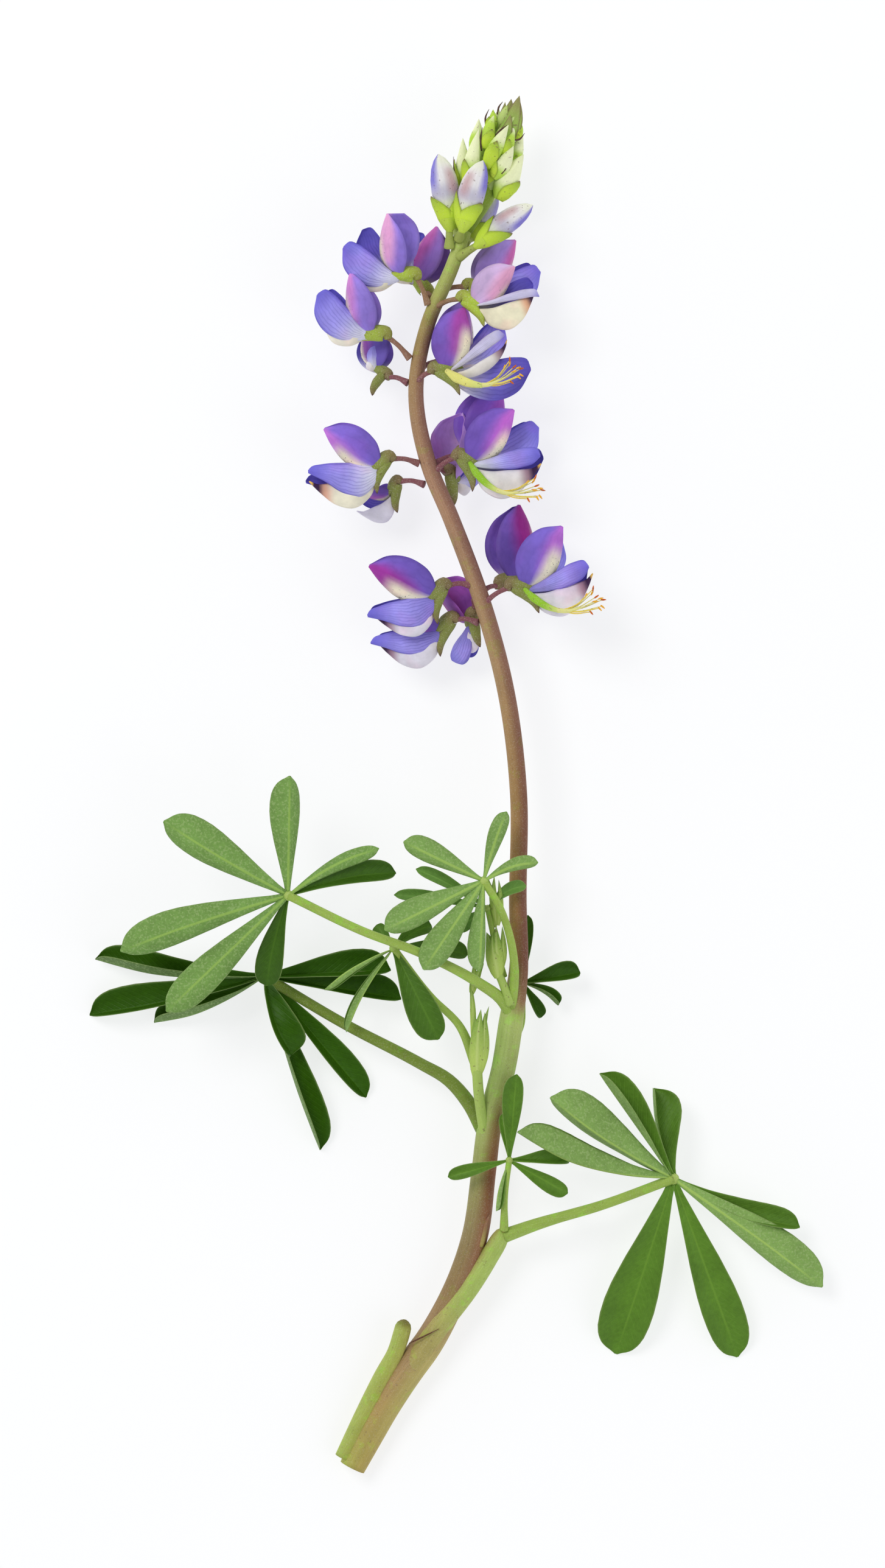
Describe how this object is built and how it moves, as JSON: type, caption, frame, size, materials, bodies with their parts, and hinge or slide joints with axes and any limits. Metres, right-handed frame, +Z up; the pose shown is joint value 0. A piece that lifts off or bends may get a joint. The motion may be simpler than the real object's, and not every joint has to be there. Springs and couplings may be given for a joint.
{
  "type": "lupin flowering stem",
  "caption": "Cut annual lupin stem lying flat, with palmate leaves, side shoots, whorls of violet-blue pea flowers and a spike of green buds at the tip.",
  "frame": {"origin": "middle of the outline it covers, on the surface it lies on", "axes": "+Y from the cut end towards the bud tip, +X to the right seen from above, +Z up from the surface"},
  "size_m": [0.1458, 0.2742, 0.0258],
  "materials": {
    "stem": "living stem, mauve-brown and green, finely hairy",
    "leaf": "living leaf, satin above and downy below",
    "young_growth": "young growth, downy",
    "calyx": "calyx and flower stalk, downy",
    "petal": "fresh petal, soft sheen",
    "bud": "bud, satin"
  },
  "bodies": {
    "root": {"stem": "stem", "leaf_a": "leaf", "leaf_b": "leaf", "leaf_c": "leaf", "leaf_c2": "leaf", "leaf_d": "leaf", "leaf_e": "leaf", "leaf_f": "leaf", "leaf_g": "leaf", "shoot_upper": "young_growth", "shoot_lower": "young_growth", "bud_spike": "bud", "bud_1": "bud", "bud_2": "bud", "bud_3": "bud", "bud_4": "bud", "bud_5": "bud", "calyx_w1_left": "calyx", "calyx_w1_left_back": "calyx", "calyx_w1_right_back": "calyx", "calyx_w1_right": "calyx", "calyx_w2_left": "calyx", "calyx_w2_left_low": "calyx", "calyx_w2_right_back": "calyx", "calyx_w2_right": "calyx", "calyx_w3_left": "calyx", "calyx_w3_left_low": "calyx", "calyx_w3_back": "calyx", "calyx_w3_right_back": "calyx", "calyx_w3_right": "calyx", "calyx_w4_left": "calyx", "calyx_w4_left_low": "calyx", "calyx_w4_back": "calyx", "calyx_w4_right_back": "calyx", "calyx_w4_right": "calyx", "corolla_w1_left": "petal", "corolla_w1_left_back": "petal", "corolla_w1_right_back": "petal", "corolla_w1_right": "petal", "corolla_w2_left": "petal", "corolla_w2_left_low": "petal", "corolla_w2_right_back": "petal", "corolla_w2_right": "petal", "corolla_w3_left": "petal", "corolla_w3_left_low": "petal", "corolla_w3_back": "petal", "corolla_w3_right_back": "petal", "corolla_w3_right": "petal", "corolla_w4_left": "petal", "corolla_w4_left_low": "petal", "corolla_w4_back": "petal", "corolla_w4_right_back": "petal", "corolla_w4_right": "petal"}
  },
  "joints": []
}
